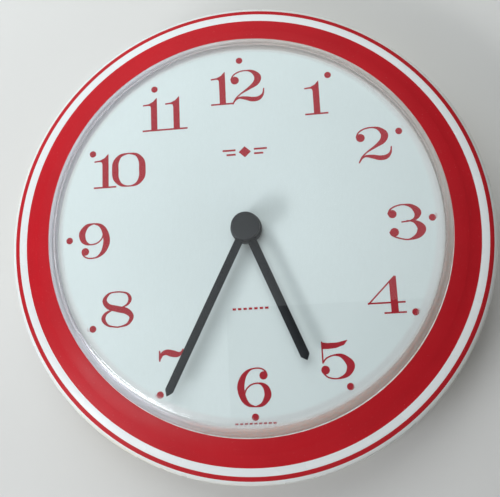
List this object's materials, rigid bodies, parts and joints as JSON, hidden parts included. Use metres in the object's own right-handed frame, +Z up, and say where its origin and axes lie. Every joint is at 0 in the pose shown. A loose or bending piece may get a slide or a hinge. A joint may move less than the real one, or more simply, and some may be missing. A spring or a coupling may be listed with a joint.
{
  "type": "wall clock",
  "caption": "Round wall clock: white plastic case with a sloping ringed bezel, raised clear crystal, numbered dial, baton hands, quartz movement with AA cell, and a keyhole hanger behind.",
  "frame": {"origin": "on the wall plane, at the point where the hanging nail's shank sits at the top of the keyhole slot, 92 mm above the clock's centre", "axes": "+Z up, -Y out of the wall towards the viewer, the dial faces -Y, +X to the viewer's right"},
  "size_m": [0.25, 0.0392, 0.25],
  "materials": {
    "white_plastic": "semi-gloss moulded plastic, red rings printed on the front of the frame",
    "clear_plastic": "clear moulded plastic",
    "dial_paper": "matt white printed sheet, red numbers and dots",
    "hand_black": "satin black lacquer on stamped sheet",
    "hub_black": "fine matt moulding",
    "movement_black": "fine spark texture",
    "gear_plastic": "natural acetal",
    "steel": "plated",
    "brass": "turned",
    "rubber": "matt",
    "circuit_board": "green solder mask",
    "copper_wire": "enamelled copper winding",
    "magnet": "sintered",
    "cell_wrap": "plain printed wrap with bare metal ends"
  },
  "bodies": {
    "case": {"case_frame": "white_plastic", "crystal": "clear_plastic", "dial_sheet": "dial_paper", "back_plate": "white_plastic", "rubber_washer": "rubber", "nut_washer": "brass", "shaft_nut": "brass", "movement_housing": "movement_black", "movement_cover": "movement_black", "train_bridge": "gear_plastic", "coil_bobbin": "gear_plastic", "coil_winding": "copper_wire", "coil_core": "steel", "stator": "steel", "circuit_board": "circuit_board", "chip_blob": "movement_black", "quartz_can": "steel", "contact_negative": "steel", "contact_positive": "steel", "hanger_bracket": "white_plastic", "hanger_screw_left": "steel", "hanger_screw_right": "steel", "case_screw_1": "steel", "case_screw_2": "steel", "case_screw_3": "steel", "case_screw_4": "steel"},
    "minute_hand_group": {"minute_hand": "hand_black", "minute_hand_cap": "hub_black", "minute_arbor": "steel", "centre_wheel": "gear_plastic"},
    "hour_hand_group": {"hour_hand": "hand_black", "hour_hand_boss": "hub_black", "hour_wheel": "gear_plastic"},
    "minute_wheel": {"minute_wheel": "gear_plastic"},
    "setting_knob": {"setting_knob": "movement_black"},
    "third_wheel": {"third_wheel": "gear_plastic"},
    "seconds_wheel": {"seconds_wheel": "gear_plastic"},
    "step_wheel": {"step_wheel": "gear_plastic"},
    "rotor": {"rotor_magnet": "magnet", "rotor_pinion": "gear_plastic"},
    "battery": {"battery_cell": "cell_wrap"}
  },
  "joints": [
    {"name": "minute_hand_turn", "type": "hinge", "parent": "case", "child": "minute_hand_group", "pos_m": [0, -0.015, -0.092], "axis": [0, 1, 0], "continuous": true},
    {"name": "hour_hand_turn", "type": "hinge", "parent": "case", "child": "hour_hand_group", "pos_m": [0, -0.015, -0.092], "axis": [0, 1, 0], "continuous": true},
    {"name": "minute_wheel_turn", "type": "hinge", "parent": "case", "child": "minute_wheel", "pos_m": [0.00827, -0.015, -0.09346], "axis": [0, 1, 0], "continuous": true},
    {"name": "setting_knob_turn", "type": "hinge", "parent": "case", "child": "setting_knob", "pos_m": [0.0176, -0.015, -0.09096], "axis": [0, 1, 0], "continuous": true},
    {"name": "third_wheel_turn", "type": "hinge", "parent": "case", "child": "third_wheel", "pos_m": [0.00687, -0.015, -0.08513], "axis": [0, 1, 0], "continuous": true},
    {"name": "seconds_wheel_turn", "type": "hinge", "parent": "case", "child": "seconds_wheel", "pos_m": [0.00408, -0.015, -0.07746], "axis": [0, 1, 0], "continuous": true},
    {"name": "step_wheel_turn", "type": "hinge", "parent": "case", "child": "step_wheel", "pos_m": [-0.00119, -0.015, -0.07441], "axis": [0, 1, 0], "continuous": true},
    {"name": "rotor_turn", "type": "hinge", "parent": "case", "child": "rotor", "pos_m": [-0.00598, -0.015, -0.07357], "axis": [0, 1, 0], "continuous": true},
    {"name": "battery_slide", "type": "slide", "parent": "case", "child": "battery", "axis": [0, 1, 0], "range_m": [0, 0.025]}
  ],
  "couplings": [
    {"joint": "hour_hand_turn", "follows": "minute_hand_turn", "ratio": 0.083333},
    {"joint": "minute_wheel_turn", "follows": "minute_hand_turn", "ratio": -0.33333},
    {"joint": "setting_knob_turn", "follows": "minute_hand_turn", "ratio": 0.625},
    {"joint": "third_wheel_turn", "follows": "minute_hand_turn", "ratio": -8},
    {"joint": "seconds_wheel_turn", "follows": "minute_hand_turn", "ratio": 60},
    {"joint": "step_wheel_turn", "follows": "minute_hand_turn", "ratio": -360},
    {"joint": "rotor_turn", "follows": "minute_hand_turn", "ratio": 1800}
  ]
}
